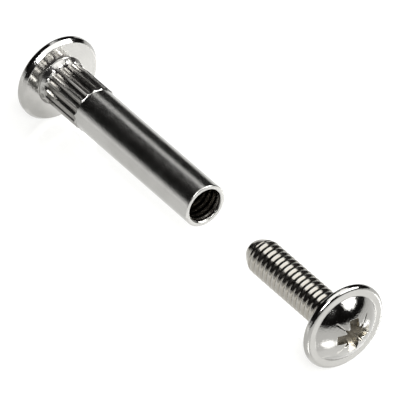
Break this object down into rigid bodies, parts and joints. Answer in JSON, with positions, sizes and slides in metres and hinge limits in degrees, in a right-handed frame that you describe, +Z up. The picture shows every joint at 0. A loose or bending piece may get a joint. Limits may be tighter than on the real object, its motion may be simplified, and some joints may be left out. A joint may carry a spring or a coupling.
{
  "type": "binding barrel screw",
  "caption": "Nickel-plated binding barrel with a ribbed shank and flat head, and the flanged, domed cross-recess screw that threads into its mouth.",
  "frame": {"origin": "on the plane that both head rims stand on, below the middle of the pair, with the screw drawn right out", "axes": "+X along the common axis, from the barrel's head towards the screw's head; +Z up"},
  "size_m": [0.0518, 0.0096, 0.0096],
  "materials": {
    "nickel_plate": "bright nickel plate on steel"
  },
  "bodies": {
    "barrel": {"barrel": "nickel_plate"},
    "screw": {"screw": "nickel_plate"}
  },
  "joints": [
    {"name": "screw_travel", "type": "slide", "parent": "barrel", "child": "screw", "axis": [-1, 0, 0], "range_m": [0, 0.02285]}
  ]
}
